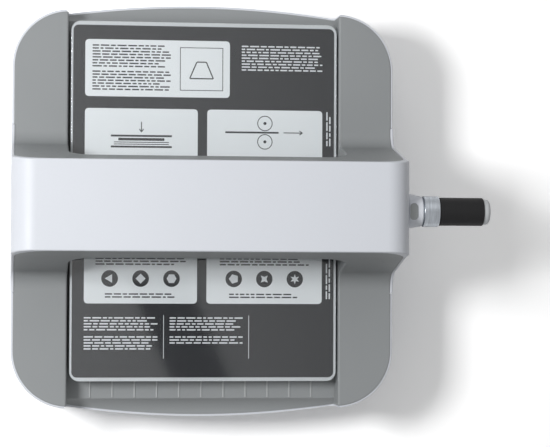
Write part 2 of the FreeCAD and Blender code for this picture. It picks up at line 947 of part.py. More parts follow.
def make_side_plate(label, side):
    """A folded steel plate: it carries the rollers and has tabs at its foot and top."""
    body = new_body(label)
    sketch = new_sketch(body, "YZ_Plane", side * (d.plate_x + d.plate_wall / 2))
    outline(
        sketch,
        at(-d.plate_y, PLATE_TOP),
        at(d.plate_y, PLATE_TOP),
        at(d.plate_y, d.plate_waist_z, d.plate_waist_round),
        at(d.plate_neck_y, d.plate_neck_z, d.plate_neck_round),
        at(d.plate_neck_y, d.plate_top),
        at(-d.plate_neck_y, d.plate_top),
        at(-d.plate_neck_y, d.plate_neck_z, d.plate_neck_round),
        at(-d.plate_y, d.plate_waist_z, d.plate_waist_round),
    )
    pad(body, sketch, d.plate_wall, both=True)
    for low, reach in ((PLATE_TOP, d.plate_y), (d.plate_top - d.plate_wall, d.plate_neck_y)):
        sketch = new_sketch(body, "XY_Plane", low)
        ends = (side * (d.plate_x - d.tab_depth), side * (d.plate_x + d.plate_wall / 2))
        inner, outer = sorted(ends, key=lambda size: size.value)
        box(sketch, inner, -reach, outer, reach)
        pad(body, sketch, d.plate_wall)
    middle = side * d.plate_x
    axles = [(0, d.lower_z), (0, UPPER_Z)]
    drill(body, "YZ_Plane", middle, THROUGH, axles, d.bush_radius + SNUG)
    drill(body, "YZ_Plane", middle, THROUGH, TIES, TIE_PASS_HOLE)
    drill(body, "XY_Plane", PLATE_TOP, THROUGH, TAB_BOLTS, BOLT_HOLE)
    drill(body, "XY_Plane", d.plate_top, THROUGH, COVER_SCREWS, SCREW_PASS_HOLE)
    if side > 0:
        drill(body, "YZ_Plane", middle, THROUGH, SPACERS, BOLT_HOLE)


def make_tie_bars():
    body = new_body("tie_bars")
    pegs(body, "YZ_Plane", -d.plate_x, d.plate_x, TIES, d.tie_radius)
    for side in (1, -1):
        drill(body, "YZ_Plane", side * d.plate_x, d.tie_screw_length * 2, TIES, TIE_HOLE)


def make_tie_bar_screws():
    body = new_body("tie_bar_screws")
    face = d.plate_x + d.plate_wall
    head = face + d.head_height
    tip = face - d.tie_screw_length
    pegs(body, "YZ_Plane", face, head, TIES, d.tie_screw_head)
    pegs(body, "YZ_Plane", tip, face, TIES, d.tie_screw_radius)
    pegs(body, "YZ_Plane", -head, -face, TIES, d.tie_screw_head)
    pegs(body, "YZ_Plane", -face, -tip, TIES, d.tie_screw_radius)


def make_gear_plate():
    body = new_body("gear_plate")
    sketch = new_sketch(body, "YZ_Plane", d.gear_plate_x)
    turn = d.gear_plate_round
    tongue_top = CRANK_Z + d.tongue_y
    outline(
        sketch,
        at(-d.gear_plate_y, d.gear_plate_low, turn),
        at(d.gear_plate_y, d.gear_plate_low, turn),
        at(d.gear_plate_y, d.gear_plate_high, turn),
        at(d.tongue_y, d.gear_plate_high, turn),
        at(d.tongue_y, tongue_top, d.tongue_round),
        at(-d.tongue_y, tongue_top, d.tongue_round),
        at(-d.tongue_y, d.gear_plate_high, turn),
        at(-d.gear_plate_y, d.gear_plate_high, turn),
    )
    pad(body, sketch, d.gear_plate_wall)
    drill(body, "YZ_Plane", d.gear_plate_x, THROUGH, SPACERS, BOLT_HOLE)
    drill(body, "YZ_Plane", d.gear_plate_x, THROUGH, [(0, CRANK_Z)], d.crank_bush_radius + SNUG)


def make_gear_plate_spacers():
    body = new_body("gear_plate_spacers")
    start = d.plate_x + d.plate_wall
    pegs(body, "YZ_Plane", start, d.gear_plate_x, SPACERS, d.spacer_radius, BOLT_HOLE)


def make_gear_plate_bolts():
    body = new_body("gear_plate_bolts")
    face = d.gear_plate_x + d.gear_plate_wall
    pegs(body, "YZ_Plane", face, face + d.head_height, SPACERS, d.bolt_head)
    pegs(body, "YZ_Plane", d.plate_x, face, SPACERS, d.bolt_radius)


def make_roller_bushes(label, height):
    body = new_body(label)
    axis = [(0, height)]
    bore = d.shaft_radius + d.running
    inner = d.plate_x - d.bush_flange
    outer = d.plate_x + d.plate_wall
    for side in (1, -1):
        low, high = (d.plate_x, outer) if side > 0 else (-outer, -d.plate_x)
        pegs(body, "YZ_Plane", low, high, axis, d.bush_radius, bore)
        low, high = (inner, d.plate_x) if side > 0 else (-d.plate_x, -inner)
        pegs(body, "YZ_Plane", low, high, axis, d.bush_rim, bore)


def make_crank_bush():
    body = new_body("crank_bush")
    bore = d.crank_radius + d.running
    axis = [(0, CRANK_Z)]
    start = d.gear_plate_x - d.bush_flange
    end = d.bridge_x - d.end_gap
    pegs(body, "YZ_Plane", start, d.gear_plate_x, axis, d.crank_bush_rim, bore)
    pegs(body, "YZ_Plane", d.gear_plate_x, end, axis, d.crank_bush_radius, bore)


def make_screws(label, spots, seat, tip, head_radius, radius):
    """Upright screws of one kind, head down."""
    body = new_body(label)
    pegs(body, "XY_Plane", seat - d.head_height, seat, spots, head_radius)
    pegs(body, "XY_Plane", seat, tip, spots, radius)


def make_housing_screws():
    spots = PANEL_POSTS + TRAY_POSTS
    make_screws("housing_screws", spots, d.foot_height, d.housing_screw_tip, d.screw_head, d.screw_radius)


def make_frame_bolts():
    tip = PLATE_TOP + d.plate_wall + d.frame_bolt_past
    make_screws("frame_bolts", TAB_BOLTS, d.foot_height, tip, d.bolt_head, d.bolt_radius)


def make_cover_screws():
    seat = d.plate_top - d.plate_wall
    tip = seat + d.cover_screw_length
    make_screws("cover_screws", COVER_SCREWS, seat, tip, d.screw_head, d.screw_radius)


def make_roller_tube(label, height):
    body = new_body(label)
    pegs(body, "YZ_Plane", -d.roller_half, d.roller_half, [(0, 0)], d.roller_radius, d.roller_bore)

    def on_end(edge, middle):
        return same(abs(middle.x), d.roller_half) and same(edge.Curve.Radius, d.roller_radius)

    soften(body, d.roller_edge, on_end)
    move(body, height)


def make_roller_hubs(label, height):
    body = new_body(label)
    rim = d.roller_bore - SNUG
    bore = d.shaft_radius + SNUG
    inner = d.roller_half - d.hub_width
    pegs(body, "YZ_Plane", inner, d.roller_half, [(0, 0)], rim, bore)
    pegs(body, "YZ_Plane", -d.roller_half, -inner, [(0, 0)], rim, bore)
    move(body, height)


def make_roller_shaft(label, height, clip, end, turn):
    """A stepped shaft with clip grooves at both ends and a flat for its gears."""
    body = new_body(label)
    left = -d.shaft_stop
    shoulder_end = d.plate_x - d.bush_flange - d.side_play
    steps = [
        (left - d.clip_width - d.shaft_end, left - d.clip_width, d.shaft_radius),
        (left - d.clip_width, left, d.groove_radius),
        (left, clip, d.shaft_radius),
        (clip, clip + d.clip_width, d.groove_radius),
        (clip + d.clip_width, end, d.shaft_radius),
        (-shoulder_end, -d.roller_half, d.shaft_shoulder),
        (d.roller_half, shoulder_end, d.shaft_shoulder),
    ]
    for start, stop, radius in steps:
        pegs(body, "YZ_Plane", start, stop, [(0, 0)], radius)
    sketch = new_sketch(body, "YZ_Plane", end)
    box(sketch, -d.bush_radius, d.gear_flat, d.bush_radius, d.bush_radius)
    cut(body, sketch, end - d.shaft_stop - d.side_play)
    move(body, height, turn)


def make_circlips(label, height, clip):
    body = new_body(label)
    for start in (clip, -d.shaft_stop - d.clip_width):
        stop = start + d.clip_width - d.running
        pegs(body, "YZ_Plane", start + d.running, stop, [(0, 0)], d.clip_radius, d.groove_radius + SNUG)
    sketch = new_sketch(body, "YZ_Plane")
    half = d.clip_opening / 2
    box(sketch, -half, -d.clip_radius - PAST, half, 0)
    cut(body, sketch, d.base_x * 3, both=True)
    move(body, height)


def flat_bore(sketch, radius, flat):
    """A round hole with one flat side, at the top."""
    half = root(radius * radius - flat * flat)
    outline(sketch, at(half, flat), via(0, -radius), at(-half, flat))


def make_gear(label, gear, x, width, bore, flat, height, turn, hub=None):
    """A spur gear about the X axis: a blank, one tooth space cut at its top, and the rest turned."""
    body = new_body(label)
    teeth = getattr(d, gear + "_teeth")
    pitch = teeth * d.gear_module / 2
    tip = pitch + d.gear_module * ADDENDUM
    foot = pitch - d.gear_module * DEDENDUM
    past = tip + PAST_TIP
    bore = bore + SNUG
    flat = flat + SNUG
    sketch = new_sketch(body, "YZ_Plane", x)
    circle(sketch, 0, 0, tip)
    flat_bore(sketch, bore, flat)
    pad(body, sketch, width)
    if hub is not None:
        sketch = new_sketch(body, "YZ_Plane", x - hub)
        circle(sketch, 0, 0, bore + d.gear_hub_wall)
        flat_bore(sketch, bore, flat)
        pad(body, sketch, hub)
    low, mid, high = (getattr(d, f"{gear}_space_{place}") for place in ("root", "pitch", "tip"))
    rise = [root(r * r - w * w) for r, w in ((foot, low), (pitch, mid), (past, high))]
    sketch = new_sketch(body, "YZ_Plane", x)
    outline(
        sketch,
        at(-high, rise[2]),
        via(-mid, rise[1]),
        at(-low, rise[0]),
        at(low, rise[0]),
        via(mid, rise[1]),
        at(high, rise[2]),
    )
    space = cut(body, sketch, width * 3, both=True)
    ring = body.newObject("PartDesign::PolarPattern", label + "_teeth")
    ring.Originals = [space]
    axle = [item for item in body.Origin.OriginFeatures if item.Role == "X_Axis"][0]
    ring.Axis = (axle, [""])
    ring.Angle = 360
    bind(ring, "Occurrences", teeth)
    body.Tip = ring
    move(body, height, turn)


def half_pitch(gear):
    """Half the angle from one tooth to the next, in degrees."""
    return as_size(180) / getattr(d, gear + "_teeth")


def make_crank_shaft():
    body = new_body("crank_shaft")
    start = d.drive_x + d.gear_offset
    pegs(body, "YZ_Plane", start, HUB_SEAT, [(0, 0)], d.crank_radius)
    sketch = new_sketch(body, "YZ_Plane", start)
    box(sketch, -d.crank_radius * 2, d.crank_flat, d.crank_radius * 2, d.crank_radius * 2)
    cut(body, sketch, d.drive_width + d.end_gap, back=True)
    drill(body, "YZ_Plane", HUB_SEAT, d.hub_screw_length * 2 + PAST, [(0, 0)], TIE_HOLE)
    move(body, CRANK_Z, half_pitch("pinion"))


def crank_move(body):
    """The arm leans a little towards the front at rest."""
    move(body, CRANK_Z, d.crank_lean)


def plug_outline(sketch, gap):
    middle = d.arm_x + d.plug_x
    half_x = d.plug_width / 2 + gap
    half_y = d.plug_length / 2 + gap
    box(sketch, middle - half_x, -half_y, middle + half_x, half_y, d.plug_corner)


def make_crank_arm():
    body = new_body("crank_arm")
    taper = (d.arm_hub - d.arm_end) / d.arm_throw
    side = root(1 - taper * taper)
    sketch = new_sketch(body, "YZ_Plane", d.arm_x)
    outline(
        sketch,
        at(d.arm_hub * side, d.arm_hub * taper),
        at(d.arm_end * side, d.arm_throw + d.arm_end * taper),
        via(0, d.arm_throw + d.arm_end),
        at(-d.arm_end * side, d.arm_throw + d.arm_end * taper),
        at(-d.arm_hub * side, d.arm_hub * taper),
        via(0, -d.arm_hub),
    )
    pad(body, sketch, d.arm_thick)
    soften(body, d.arm_edge, lambda edge, middle: same(middle.x, d.arm_x) or same(middle.x, ARM_FACE))
    drill(body, "YZ_Plane", d.arm_x, d.arm_thick * 3, [(0, 0)], d.crank_radius + SNUG)
    drill(body, "YZ_Plane", ARM_FACE, d.hub_recess_depth * 2, [(0, 0)], d.hub_recess)
    spindle_hole = (d.arm_thick - d.arm_back_wall) * 2
    drill(body, "YZ_Plane", ARM_FACE, spindle_hole, HANDLE_AXIS, d.spindle_radius + SNUG)
    sketch = new_sketch(body, "XY_Plane", d.arm_throw + d.arm_end)
    plug_outline(sketch, SNUG)
    cut(body, sketch, d.plug_depth)
    crank_move(body)


def make_arm_end_plug():
    body = new_body("arm_end_plug")
    sketch = new_sketch(body, "XY_Plane", d.arm_throw + d.arm_end - d.plug_depth)
    plug_outline(sketch, 0)
    pad(body, sketch, d.plug_depth - d.plug_sink)
    crank_move(body)


def make_hub_screw():
    body = new_body("hub_screw")
    head = HUB_SEAT + d.head_height
    pegs(body, "YZ_Plane", HUB_SEAT, head, [(0, 0)], d.hub_screw_head)
    pegs(body, "YZ_Plane", HUB_SEAT - d.hub_screw_length, HUB_SEAT, [(0, 0)], d.tie_screw_radius)
    sketch = new_sketch(body, "YZ_Plane", head)
    corners = [(d.hex_radius * math.cos(turn), d.hex_radius * math.sin(turn)) for turn in HEX_TURNS]
    outline(sketch, *[at(y, z) for y, z in corners])
    cut(body, sketch, d.hex_depth)
    crank_move(body)


def make_handle_spindle():
    body = new_body("handle_spindle")
    start = d.arm_x + d.arm_back_wall + d.running
    pegs(body, "YZ_Plane", start, d.spindle_end, HANDLE_AXIS, d.spindle_radius)
    drill(body, "YZ_Plane", d.spindle_end, d.grip_screw_length * 2 + MERGE, HANDLE_AXIS, BOLT_HOLE)
    crank_move(body)


def make_handle_collar():
    body = new_body("handle_collar")
    bore = d.spindle_radius + SNUG
    start = ARM_FACE + d.collar_gap
    pegs(body, "YZ_Plane", start, start + d.collar_length, HANDLE_AXIS, d.collar_radius, bore)

    def on_rim(edge, middle):
        return edge.Closed and same(edge.Curve.Radius, d.collar_radius)

    soften(body, d.collar_edge, on_rim)
    pegs(body, "YZ_Plane", ARM_FACE, start, HANDLE_AXIS, d.collar_neck, bore)
    crank_move(body)


def make_grip_screw():
    body = new_body("grip_screw")
    end = d.spindle_end
    pegs(body, "YZ_Plane", end, end + d.head_height, HANDLE_AXIS, d.grip_screw_head)
    pegs(body, "YZ_Plane", end - d.grip_screw_length, end, HANDLE_AXIS, d.bolt_radius)
    crank_move(body)


def make_grip_sleeve():
    body = new_body("grip_sleeve")
    seat = d.spindle_end - d.end_gap
    pegs(body, "YZ_Plane", d.grip_start, d.grip_end, HANDLE_AXIS, d.grip_radius)

    def on_end(edge, middle):
        return edge.Closed and (same(middle.x, d.grip_start) or same(middle.x, d.grip_end))

    soften(body, d.grip_edge, on_end)
    length = d.grip_end - d.grip_start
    drill(body, "YZ_Plane", d.grip_start, length * 3, HANDLE_AXIS, d.spindle_radius + d.running)
    drill(body, "YZ_Plane", d.grip_end, (d.grip_end - seat) * 2, HANDLE_AXIS, d.grip_seat)
    crank_move(body)


def make_grip_end_cap():
    body = new_body("grip_end_cap")
    pegs(body, "YZ_Plane", d.grip_end, d.cap_end, HANDLE_AXIS, d.cap_radius)
    soften(body, d.cap_dome, lambda edge, middle: same(middle.x, d.cap_end))
    pegs(body, "YZ_Plane", d.grip_end - d.cap_stem, d.grip_end, HANDLE_AXIS, d.grip_seat - SNUG)
    crank_move(body)


def make_platform_layer(label, low, thick, side=0, end=0):
    """One layer of the platform, set in from its sides and ends."""
    body = new_body(label)
    sketch = new_sketch(body, "XY_Plane", low)
    box(
        sketch,
        side - d.platform_x,
        end - d.platform_front,
        d.platform_x - side,
        d.platform_back - end,
        d.platform_corner - end,
    )
    pad(body, sketch, thick)
    return body


def make_platform():
    label_low = d.platform_low + d.board_thick
    pad_low = label_low + d.label_thick
    pad_top = pad_low + d.pad_thick
    make_platform_layer("platform_board", d.platform_low, d.board_thick)
    make_platform_layer("platform_label", label_low, d.label_thick, d.label_side, d.label_end)
    clear_pad = make_platform_layer("cutting_pad", pad_low, d.pad_thick)
    soften(clear_pad, d.pad_edge, lambda edge, middle: same(middle.z, pad_top))


def make_roller(name, height, clip, end, turn):
    make_roller_tube(name + "_roller_tube", height)
    make_roller_hubs(name + "_roller_hubs", height)
    make_roller_shaft(name + "_roller_shaft", height, clip, end, turn)
    make_circlips(name + "_circlips", height, clip)
    make_roller_bushes(name + "_roller_bushes", height)


def make_rollers():
    drive_end = d.drive_x + d.drive_width + d.side_play
    sync_end = d.sync_x + d.sync_width + d.side_play
    past_clip = d.clip_width + d.clip_lip
    make_roller("lower", d.lower_z, drive_end, drive_end + past_clip, 0)
    make_roller("upper", UPPER_Z, sync_end, sync_end + past_clip, half_pitch("sync"))


def make_gears():
    sync = ("sync", d.sync_x, d.sync_width, d.shaft_radius, d.gear_flat)
    make_gear("lower_sync_gear", *sync, d.lower_z, 0)
    make_gear("upper_sync_gear", *sync, UPPER_Z, half_pitch("sync"))
    drive = ("drive", d.drive_x, d.drive_width, d.shaft_radius, d.gear_flat)
    make_gear("lower_drive_gear", *drive, d.lower_z, 0, d.drive_hub)
    pinion = ("pinion", d.drive_x + d.gear_offset, d.drive_width, d.crank_radius, d.crank_flat)
    make_gear("crank_pinion", *pinion, CRANK_Z, half_pitch("pinion"))


def make_all():
    make_base_shell()
    make_bottom_plate()
    make_rubber_feet()
    make_deck("front_deck", 0)
    make_deck("rear_deck", 180)
    make_bridge_cover()
    make_side_plate("left_side_plate", -1)
    make_side_plate("right_side_plate", 1)
    make_tie_bars()
    make_tie_bar_screws()
    make_gear_plate()
    make_gear_plate_spacers()
    make_gear_plate_bolts()
    make_crank_bush()
    make_housing_screws()
    make_frame_bolts()
    make_cover_screws()
    make_rollers()
    make_gears()
    make_crank_shaft()
    make_crank_arm()
    make_arm_end_plug()
    make_hub_screw()
    make_handle_spindle()
    make_handle_collar()
    make_grip_screw()
    make_grip_sleeve()
    make_grip_end_cap()
    make_platform()


def check_all():
    doc.recompute()
    for item in doc.Objects:
        if "Invalid" in item.State or "Error" in item.State:
            raise RuntimeError(f"{item.Label} failed: {item.State}")
    for body in bodies:
        if body.Shape.isNull() or not body.Shape.isValid() or not body.Shape.Solids:
            raise RuntimeError(f"{body.Label} has no valid shape")


def write_all():
    os.makedirs("parts", exist_ok=True)
    for body in bodies:
        body.Shape.exportStep(os.path.join("parts", body.Label + ".step"))
        print(f"{body.Label}: {len(body.Shape.Solids)} solids, {body.Shape.Volume / 1000:.2f} cm3")


make_all()
check_all()
write_all()
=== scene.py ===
"""Die cutting machine: finishes, printed label, floor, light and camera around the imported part."""
import json
import math
import random

import bmesh
import bpy
from mathutils import Matrix, Vector

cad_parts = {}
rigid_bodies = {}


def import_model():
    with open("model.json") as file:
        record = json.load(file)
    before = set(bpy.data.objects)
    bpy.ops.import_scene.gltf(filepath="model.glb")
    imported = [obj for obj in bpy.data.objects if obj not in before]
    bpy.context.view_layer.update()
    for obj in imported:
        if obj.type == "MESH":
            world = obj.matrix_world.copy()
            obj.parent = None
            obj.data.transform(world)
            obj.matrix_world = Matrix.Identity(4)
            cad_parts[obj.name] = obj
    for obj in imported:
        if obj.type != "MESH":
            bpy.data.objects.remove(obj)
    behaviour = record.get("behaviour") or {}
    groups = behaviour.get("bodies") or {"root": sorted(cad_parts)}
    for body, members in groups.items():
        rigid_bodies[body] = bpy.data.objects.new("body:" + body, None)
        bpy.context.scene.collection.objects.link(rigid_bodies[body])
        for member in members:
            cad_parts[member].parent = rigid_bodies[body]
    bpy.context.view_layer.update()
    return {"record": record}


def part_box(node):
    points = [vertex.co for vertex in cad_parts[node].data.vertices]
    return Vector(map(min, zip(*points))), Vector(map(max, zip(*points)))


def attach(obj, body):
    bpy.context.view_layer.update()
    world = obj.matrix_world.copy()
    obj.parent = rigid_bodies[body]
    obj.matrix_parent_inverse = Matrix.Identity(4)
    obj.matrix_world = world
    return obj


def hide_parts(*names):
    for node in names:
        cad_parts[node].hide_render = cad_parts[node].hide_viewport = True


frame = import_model()
bpy.ops.object.select_all(action="DESELECT")

MM = 0.001


# Node trees
def add_node(tree, kind, settings=None, **inputs):
    """A node with its settings, and its inputs given by socket name with _ for a space."""
    node = tree.nodes.new(kind)
    for name, value in (settings or {}).items():
        setattr(node, name, value)
    for name, value in inputs.items():
        node.inputs[name.replace("_", " ")].default_value = value
    return node


def join(tree, source, target):
    """Link (node, output) to (node, input)."""
    tree.links.new(source[0].outputs[source[1]], target[0].inputs[target[1]])


def maths(tree, operation, first, second=0.0):
    """A Math node on one or two values, each a number or a (node, output) pair."""
    node = add_node(tree, "ShaderNodeMath", {"operation": operation})
    for place, value in enumerate((first, second)):
        if isinstance(value, tuple):
            join(tree, value, (node, place))
        else:
            node.inputs[place].default_value = value
    return node


def ramped(tree, value, low, high, start=0.0, end=1.0):
    """From start to end as a value goes from low to high, and level outside."""
    node = add_node(tree, "ShaderNodeMapRange", From_Min=low, From_Max=high, To_Min=start, To_Max=end)
    join(tree, value, (node, "Value"))
    return node


def on_piece(tree):
    """The place on the piece, as a (node, output) pair."""
    return add_node(tree, "ShaderNodeTexCoord"), "Object"


def split(tree, place):
    """X, Y and Z of a place."""
    node = add_node(tree, "ShaderNodeSeparateXYZ")
    join(tree, place, (node, "Vector"))
    return node


def noise(tree, place, scale=None, **inputs):
    """Noise over a place, with its scale as an input or from a (node, output) pair."""
    node = add_node(tree, "ShaderNodeTexNoise", **inputs)
    join(tree, place, (node, "Vector"))
    if scale:
        join(tree, scale, (node, "Scale"))
    return node


# Effects that several finishes share
FINE_SHARE = 0.45
SCUFF_TURN = (0.2, 0.1, 0.6)
SCUFF_STRETCH = (1.0, 0.06, 1.0)
SCUFF_RANGE = (0.6, 0.75)
SCUFF_SHARE = 0.5
MARK_STRENGTH = 0.7


def new_group(name, inputs, outputs):
    """An empty shader group with value inputs and value outputs."""
    group = bpy.data.node_groups.new(name, "ShaderNodeTree")
    for socket, value in inputs.items():
        made = group.interface.new_socket(socket, in_out="INPUT", socket_type="NodeSocketFloat")
        made.default_value = value
    for socket in outputs:
        group.interface.new_socket(socket, in_out="OUTPUT", socket_type="NodeSocketFloat")
    given = group.nodes.new("NodeGroupInput")
    result = group.nodes.new("NodeGroupOutput")
    return group, given, result


def moulded_grain_group():
    """The fine spark texture of a mould: a height, and a tone that drifts slowly over the piece."""
    group, given, result = new_group("moulded_grain", {"Grain": 1500.0, "Drift": 9.0}, ("Height", "Tone"))
    place = on_piece(group)
    pits = noise(group, place, (given, "Grain"), Detail=3.0, Roughness=0.6)
    drift = noise(group, place, (given, "Drift"), Detail=2.0)
    fine = maths(group, "MULTIPLY", (pits, "Fac"), FINE_SHARE)
    slow = maths(group, "MULTIPLY", (drift, "Fac"), 1.0 - FINE_SHARE)
    tone = maths(group, "ADD", (fine, 0), (slow, 0))
    join(group, (pits, "Fac"), (result, "Height"))
    join(group, (tone, 0), (result, "Tone"))
    return group


def handling_marks_group():
    """Faint smears and hairline scuffs, as a value that rises from clean to worn."""
    group, given, result = new_group("handling_marks", {"Smears": 22.0, "Scuffs": 160.0}, ("Mark",))
    place = on_piece(group)
    smears = noise(group, place, (given, "Smears"), Detail=4.0, Roughness=0.55, Distortion=0.6)
    turned = add_node(group, "ShaderNodeMapping", Rotation=SCUFF_TURN, Scale=SCUFF_STRETCH)
    join(group, place, (turned, "Vector"))
    scuffs = noise(group, (turned, "Vector"), (given, "Scuffs"), Detail=2.0)
    lines = ramped(group, (scuffs, "Fac"), *SCUFF_RANGE, 0.0, SCUFF_SHARE)
    both = maths(group, "ADD", (smears, "Fac"), (lines, "Result"))
    mark = maths(group, "MULTIPLY", (both, 0), MARK_STRENGTH)
    join(group, (mark, 0), (result, "Mark"))
    return group


def turned_lines_group():
    """Fine lines round the X axis, as a lathe or a polishing belt leaves them."""
    group, given, result = new_group("turned_lines", {"Lines": 5200.0, "Breaks": 60.0}, ("Line", "Sheen"))
    place = on_piece(group)
    parts = split(group, place)
    stretched = add_node(group, "ShaderNodeCombineXYZ")
    for axis, scale in (("X", "Lines"), ("Y", "Breaks"), ("Z", "Breaks")):
        scaled = maths(group, "MULTIPLY", (parts, axis), (given, scale))
        join(group, (scaled, 0), (stretched, axis))
    streaks = noise(group, (stretched, "Vector"), Scale=1.0, Detail=3.0, Roughness=0.65)
    sheen = noise(group, place, Scale=70.0, Detail=1.0)
    join(group, (streaks, "Fac"), (result, "Line"))
    join(group, (sheen, "Fac"), (result, "Sheen"))
    return group


GRAIN = moulded_grain_group()
MARKS = handling_marks_group()
LINES = turned_lines_group()


# Finishes: spread is how far the tone strays, rough the least and most roughness, depth in millimetres
TONE_RANGE = (0.3, 0.7)
ROUGH_RANGE = (0.25, 0.75)
INK_ROUGH = (0.5, 0.6)
PAD_COLOUR = (0.975, 0.985, 0.99, 1.0)
PAD_ROUGH = (0.015, 0.06)
PAD_SHADE = (0.93, 0.94, 0.945, 1.0)
# Rib tops painted lighter: a painted highlight where the ribs catch the light, and wear from the sliding
# platform
RIB_TOPS = (67.3, 67.75)
RIB_HIGHLIGHT_AND_WEAR_GREY = (0.42, 0.435, 0.44, 1.0)


def new_finish(name, **inputs):
    """A material with its principled shader set by socket name."""
    material = bpy.data.materials.new(name)
    material.use_nodes = True
    tree = material.node_tree
    shader = tree.nodes["Principled BSDF"]
    for socket, value in inputs.items():
        shader.inputs[socket.replace("_", " ")].default_value = value
    return material, tree, shader


def use_group(tree, group, **inputs):
    """A shared effect with values of its own."""
    return add_node(tree, "ShaderNodeGroup", {"node_tree": group}, **inputs)


def tint(tree, shader, mask, colour, spread):
    """Base colour from a little darker to a little lighter by a mask."""
    ramp = add_node(tree, "ShaderNodeValToRGB")
    for stop, position, side in zip(ramp.color_ramp.elements, TONE_RANGE, (-1, 1)):
        stop.position = position
        stop.color = (*(part * (1 + side * spread) for part in colour), 1.0)
    join(tree, mask, (ramp, "Fac"))
    join(tree, (ramp, "Color"), (shader, "Base Color"))


def gloss(tree, shader, mask, rough):
    """Roughness between two values by a mask."""
    between = ramped(tree, mask, *ROUGH_RANGE, *rough)
    join(tree, (between, "Result"), (shader, "Roughness"))


def relief(tree, shader, height, depth):
    """A bump of the given depth."""
    bump = add_node(tree, "ShaderNodeBump", Strength=1.0, Distance=depth * MM)
    join(tree, height, (bump, "Height"))
    join(tree, (bump, "Normal"), (shader, "Normal"))


def grained(name, colour, spread, rough, grain, depth, drift, smears, **inputs):
    """A finish with a fine grain, a slow drift of tone and faint handling marks."""
    material, tree, shader = new_finish(name, **inputs)
    texture = use_group(tree, GRAIN, Grain=grain, Drift=drift)
    marks = use_group(tree, MARKS, Smears=smears)
    tint(tree, shader, (texture, "Tone"), colour, spread)
    gloss(tree, shader, (marks, "Mark"), rough)
    relief(tree, shader, (texture, "Height"), depth)
    return material


def moulded_plastic(name, colour, **values):
    """Injection-moulded plastic or rubber."""
    return grained(name, colour, drift=9.0, smears=22.0, **values)


def plain_metal(name, colour, **values):
    """Plated, oiled or sintered metal."""
    return grained(name, colour, drift=40.0, smears=60.0, Metallic=1.0, **values)


def turned_metal(name, colour, spread, rough, depth, **inputs):
    """Metal with fine lines round the X axis."""
    material, tree, shader = new_finish(name, Metallic=1.0)
    lines = use_group(tree, LINES, **inputs)
    tint(tree, shader, (lines, "Line"), colour, spread)
    gloss(tree, shader, (lines, "Sheen"), rough)
    relief(tree, shader, (lines, "Line"), depth)
    return material


def printed(name, colour, spread):
    """Ink on a smooth sheet, with a faint mottle."""
    material, tree, shader = new_finish(name, Specular_IOR_Level=0.1)
    mottle = use_group(tree, GRAIN, Grain=2600.0, Drift=14.0)
    tint(tree, shader, (mottle, "Tone"), colour, spread)
    gloss(tree, shader, (mottle, "Tone"), INK_ROUGH)
    return material


def clear_sheet(name):
    """Clear polished plastic that lets the lamps through to what lies under it."""
    material, tree, shader = new_finish(name, Base_Color=PAD_COLOUR, IOR=1.49, Transmission_Weight=1.0)
    marks = use_group(tree, MARKS, Smears=16.0, Scuffs=240.0)
    gloss(tree, shader, (marks, "Mark"), PAD_ROUGH)
    path = add_node(tree, "ShaderNodeLightPath")
    passing = maths(tree, "MAXIMUM", (path, "Is Shadow Ray"), (path, "Is Diffuse Ray"))
    open_air = add_node(tree, "ShaderNodeBsdfTransparent", Color=PAD_SHADE)
    mix = add_node(tree, "ShaderNodeMixShader")
    join(tree, (passing, 0), (mix, "Fac"))
    join(tree, (shader, "BSDF"), (mix, 1))
    join(tree, (open_air, "BSDF"), (mix, 2))
    join(tree, (mix, "Shader"), (tree.nodes["Material Output"], "Surface"))
    return material


def paint_rib_highlight_and_wear(material, heights, colour):
    """Lighten a moulding between two heights in millimetres, on the ribs the platform slides on: a painted
    highlight on the rib tops, along with their wear.
    """
    low, high = heights
    tree = material.node_tree
    base = tree.nodes["Principled BSDF"].inputs["Base Color"]
    parts = split(tree, on_piece(tree))
    # Only the rib tops lie between these heights, so the painted highlight and wear go there alone
    above = maths(tree, "GREATER_THAN", (parts, "Z"), low * MM)
    below = maths(tree, "LESS_THAN", (parts, "Z"), high * MM)
    between = maths(tree, "MULTIPLY", (above, 0), (below, 0))
    mix = add_node(tree, "ShaderNodeMix", {"data_type": "RGBA"})
    join(tree, (between, 0), (mix, "Factor"))
    own_colour, highlighted_colour = (socket for socket in mix.inputs if socket.type == "RGBA")
    tree.links.new(base.links[0].from_socket, own_colour)
    highlighted_colour.default_value = colour
    made = next(socket for socket in mix.outputs if socket.type == "RGBA")
    tree.links.new(made, base)


